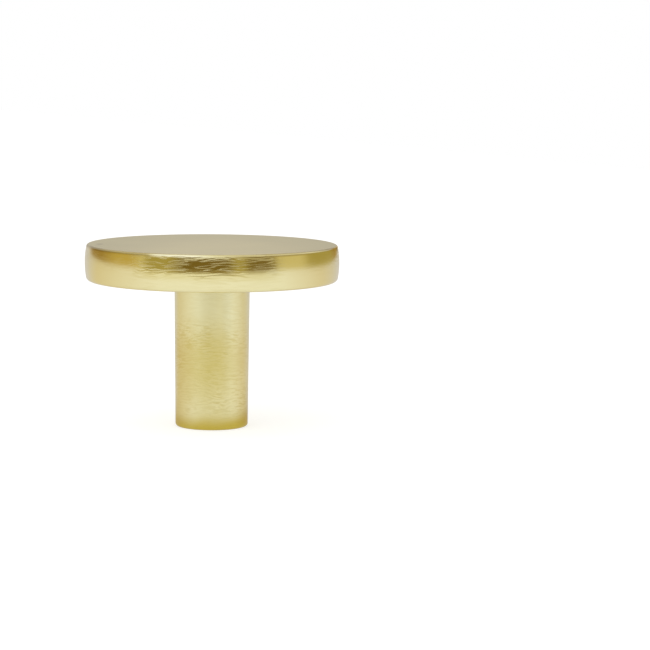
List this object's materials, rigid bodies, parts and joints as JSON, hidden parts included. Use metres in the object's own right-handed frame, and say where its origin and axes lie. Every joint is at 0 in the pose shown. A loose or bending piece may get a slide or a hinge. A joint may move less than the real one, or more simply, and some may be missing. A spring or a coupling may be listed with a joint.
{
  "type": "cabinet knob",
  "caption": "Flat round cabinet knob in brushed brass: a thin disc head on a slim, slightly tapered stem, with a blind tapped screw hole in the foot.",
  "frame": {"origin": "centre of the stem's foot, in the plane that seats on the door or drawer front", "axes": "+Z along the stem, out of the furniture, from the foot to the flat face of the head; X and Y lie in the plane of the foot, and the knob is round about Z"},
  "size_m": [0.035, 0.035, 0.0252],
  "materials": {
    "brushed_brass": "brushed satin brass, with fine strokes round the rim and the stem and an even satin face"
  },
  "bodies": {
    "root": {"knob": "brushed_brass"}
  },
  "joints": []
}
